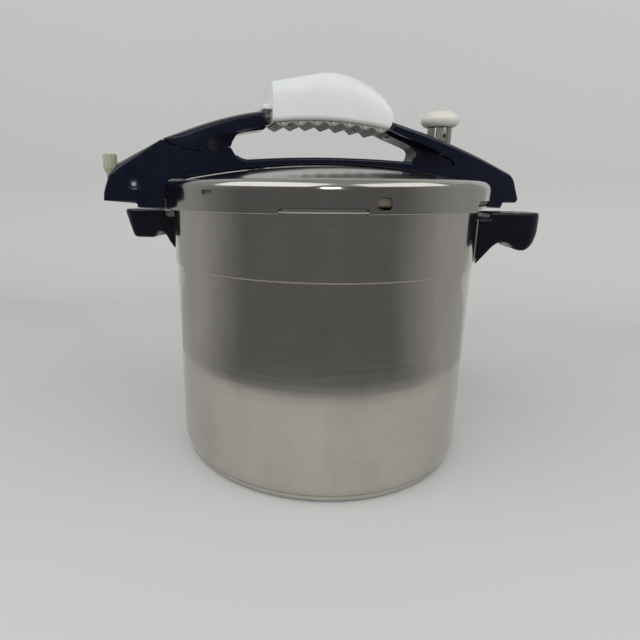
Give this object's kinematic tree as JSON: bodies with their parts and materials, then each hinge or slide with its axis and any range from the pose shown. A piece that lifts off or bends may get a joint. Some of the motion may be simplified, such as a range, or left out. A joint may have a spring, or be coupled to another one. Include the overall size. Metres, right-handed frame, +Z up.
{
  "type": "stovetop_pressure_cooker",
  "caption": "Tall steel stovetop pressure cooker with a lugged rim, a turning domed lid under an arched handle with a white grip, a lift-off steam weight and side handles.",
  "frame": {"origin": "centre of the flat underside of the base, on the table", "axes": "+X runs through the right side handle, +Y to the back, +Z up; the lid sits in its insert position with its arched handle turned 20 degrees from +X"},
  "size_m": [0.3387, 0.2586, 0.3037],
  "materials": {
    "aluminium_core": "plain cast disc",
    "black_navy_plastic": "glossy moulded phenolic, almost black",
    "black_steel": "black painted strap",
    "brushed_steel": "fine horizontal brushing, softly worn",
    "grey_plastic": "matt grey moulding",
    "ivory_plastic": "satin ivory moulding",
    "navy_plastic": "glossy moulded phenolic, dark navy",
    "olive_plastic": "matt beige-green moulding",
    "polished_steel": "bright rolled and polished steel",
    "silicone": "matt beige silicone",
    "white_plastic": "smooth glossy white moulding"
  },
  "bodies": {
    "pot": {"pot_shell": "brushed_steel", "base_core": "aluminium_core", "base_cap": "brushed_steel", "side_handle_right": "black_navy_plastic", "handle_bracket_right": "brushed_steel", "side_handle_screw_right": "polished_steel", "side_handle_left": "black_navy_plastic", "handle_bracket_left": "brushed_steel", "side_handle_screw_left": "polished_steel"},
    "seal": {"sealing_ring": "silicone"},
    "lid": {"lid_shell": "polished_steel", "lid_bracket_right": "brushed_steel", "lid_bracket_left": "brushed_steel", "arch_body": "navy_plastic", "arch_cover": "navy_plastic", "handle_core": "black_steel", "grip_shell": "white_plastic", "grip_strip": "grey_plastic", "foot_screw_left": "polished_steel", "foot_screw_right": "polished_steel", "core_screw_left": "polished_steel", "core_screw_right": "polished_steel", "cover_screw": "polished_steel", "grip_screw_left": "polished_steel", "grip_screw_right": "polished_steel", "vent_pipe": "polished_steel", "vent_nut": "polished_steel", "vent_strainer": "polished_steel", "float_body": "polished_steel", "float_seal": "silicone", "float_nut": "polished_steel"},
    "weight": {"weight_body": "polished_steel", "weight_cap": "ivory_plastic"},
    "lock": {"lock_knob": "olive_plastic", "lock_pin": "polished_steel"},
    "float": {"float_pin": "polished_steel"}
  },
  "joints": [
    {"name": "lid_lift", "type": "slide", "parent": "pot", "child": "seal", "axis": [0, 0, 1], "range_m": [0, 0.08]},
    {"name": "lid_turn", "type": "hinge", "parent": "seal", "child": "lid", "pos_m": [0, 0, 0.206], "axis": [0, 0, -1], "range_deg": [0, 20]},
    {"name": "weight_lift", "type": "slide", "parent": "lid", "child": "weight", "axis": [0, 0, 1], "range_m": [0, 0.045]},
    {"name": "lock_press", "type": "slide", "parent": "lid", "child": "lock", "axis": [0, 0, -1], "range_m": [0, 0.01]},
    {"name": "float_rise", "type": "slide", "parent": "lid", "child": "float", "axis": [0, 0, 1], "range_m": [0, 0.004]}
  ]
}
